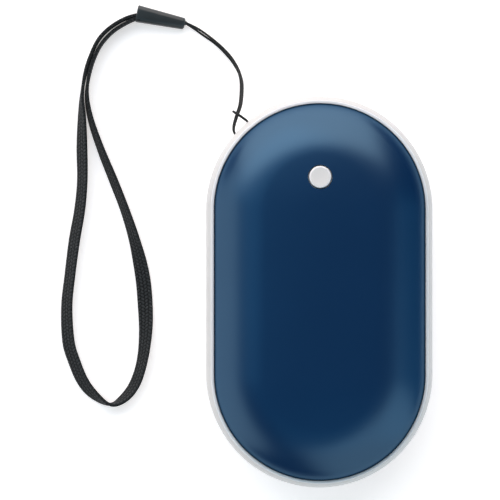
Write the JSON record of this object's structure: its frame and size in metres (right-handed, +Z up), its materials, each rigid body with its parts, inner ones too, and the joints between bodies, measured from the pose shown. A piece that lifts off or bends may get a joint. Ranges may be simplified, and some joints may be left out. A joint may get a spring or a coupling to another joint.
{
  "type": "rechargeable hand warmer",
  "caption": "Flat pebble-shaped rechargeable hand warmer with domed metal covers, a white side band, a round push button, a USB-C inlet and a wrist strap on a corded eyelet.",
  "frame": {"origin": "on the surface that the part lies on, under the middle of the case", "axes": "+Z up through the button side, +Y along the case towards the charging inlet, +X to the right seen from above"},
  "size_m": [0.0975, 0.1264, 0.0252],
  "materials": {
    "cover_metal": "dark blue, satin anodised",
    "white_plastic": "white, half gloss",
    "button_plastic": "white, satin, lets light through",
    "screw_steel": "zinc plated",
    "inlet_steel": "bright plated",
    "black_plastic": "matte",
    "led_plastic": "cast resin",
    "circuit_board": "green mask",
    "ferrite": "pressed powder",
    "ceramic": "fired",
    "cell_can": "shrink sleeve over a steel can",
    "nickel": "rolled strip",
    "lead_insulation": "satin sleeve",
    "heater_film": "amber film",
    "foam": "closed-cell foam",
    "strap_cord": "twisted cord",
    "strap_band": "woven, ribbed lengthwise",
    "ferrule_plastic": "satin, moulded"
  },
  "bodies": {
    "housing": {"front_cover": "cover_metal", "rear_cover": "cover_metal", "front_frame": "white_plastic", "rear_frame": "white_plastic", "case_screws": "screw_steel", "button_guide": "white_plastic", "tact_switch": "black_plastic", "indicator_leds": "led_plastic", "main_board": "circuit_board", "board_screws": "screw_steel", "usb_shell": "inlet_steel", "usb_tongue": "black_plastic", "control_chip": "black_plastic", "charger_chip": "black_plastic", "power_inductor": "ferrite", "capacitors": "ceramic", "battery_cells": "cell_can", "battery_bracket": "black_plastic", "nickel_strips": "nickel", "protection_board": "circuit_board", "battery_leads": "lead_insulation", "front_heater": "heater_film", "rear_heater": "heater_film", "heater_leads": "lead_insulation", "heat_sensor": "lead_insulation", "front_foam_pad": "foam", "rear_foam_pad": "foam", "lanyard_cord": "strap_cord", "strap_ferrule": "ferrule_plastic", "wrist_strap": "strap_band"},
    "button": {"button_cap": "button_plastic"},
    "plunger": {"switch_plunger": "black_plastic"}
  },
  "joints": [
    {"name": "button_press", "type": "slide", "parent": "housing", "child": "button", "axis": [0, 0, -1], "range_m": [0, 0.0004], "stiffness_N_per_m": 2000},
    {"name": "plunger_press", "type": "slide", "parent": "housing", "child": "plunger", "axis": [0, 0, -1], "range_m": [0, 0.0004]}
  ],
  "couplings": [
    {"joint": "plunger_press", "follows": "button_press", "ratio": 1}
  ]
}
